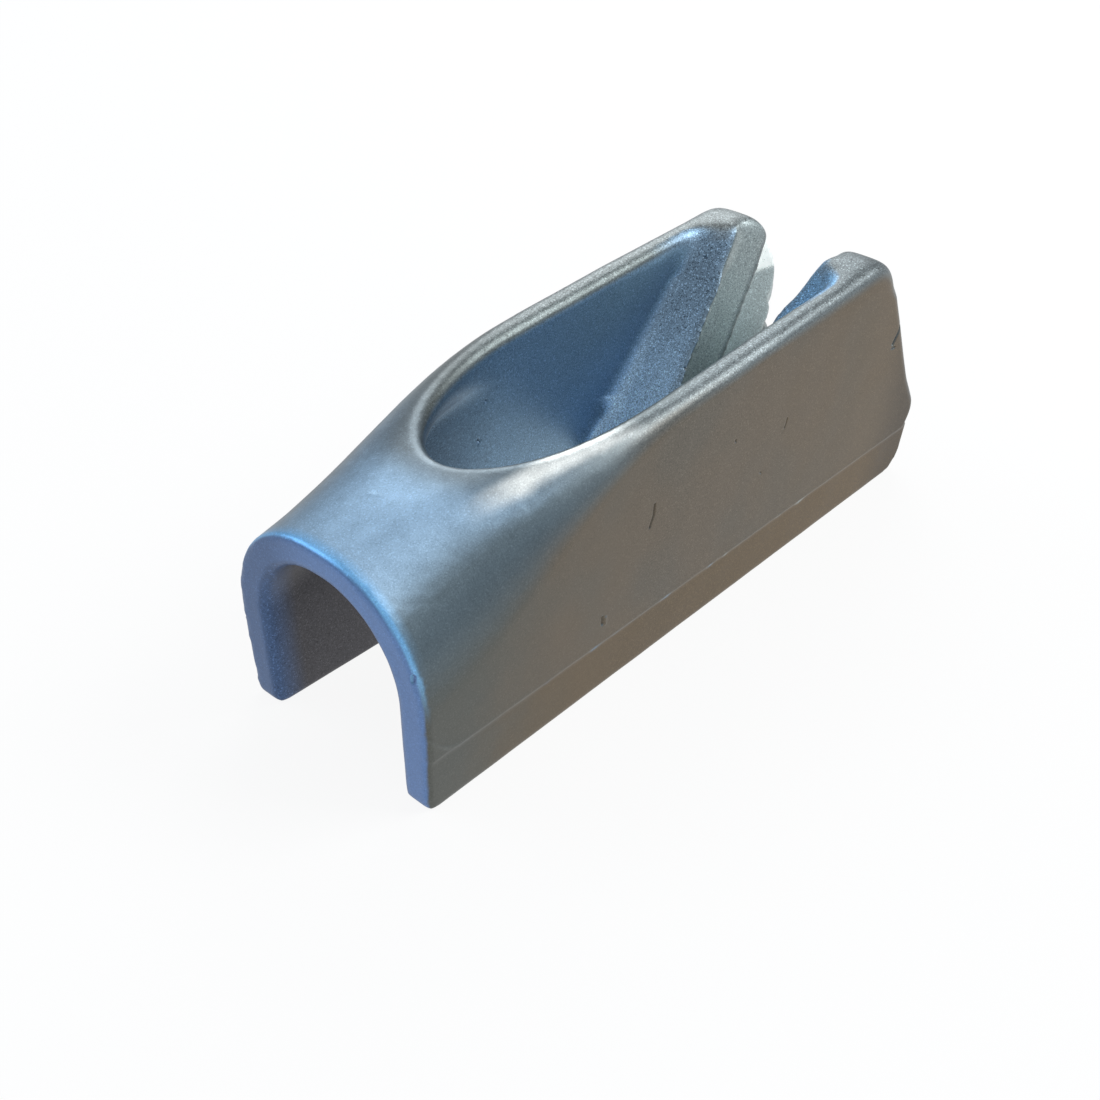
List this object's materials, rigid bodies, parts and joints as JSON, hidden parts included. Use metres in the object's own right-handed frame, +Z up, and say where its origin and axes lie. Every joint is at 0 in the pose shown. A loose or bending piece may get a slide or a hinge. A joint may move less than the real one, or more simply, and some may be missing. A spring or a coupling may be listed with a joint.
{
  "type": "jam cleat",
  "caption": "Small open-ended jam cleat cast in aluminium: an arched front tunnel, an oval opening in the roof, a funnel and a toothed V-groove that wedges a thin line.",
  "frame": {"origin": "centre of the bounding box in plan, on the plane that the two long feet stand on", "axes": "+X from the arched front towards the toothed jaws, +Y to the side, +Z up from the feet"},
  "size_m": [0.0592, 0.016, 0.0218],
  "materials": {
    "body": "satin"
  },
  "bodies": {
    "root": {"cleat_body": "body"}
  },
  "joints": []
}
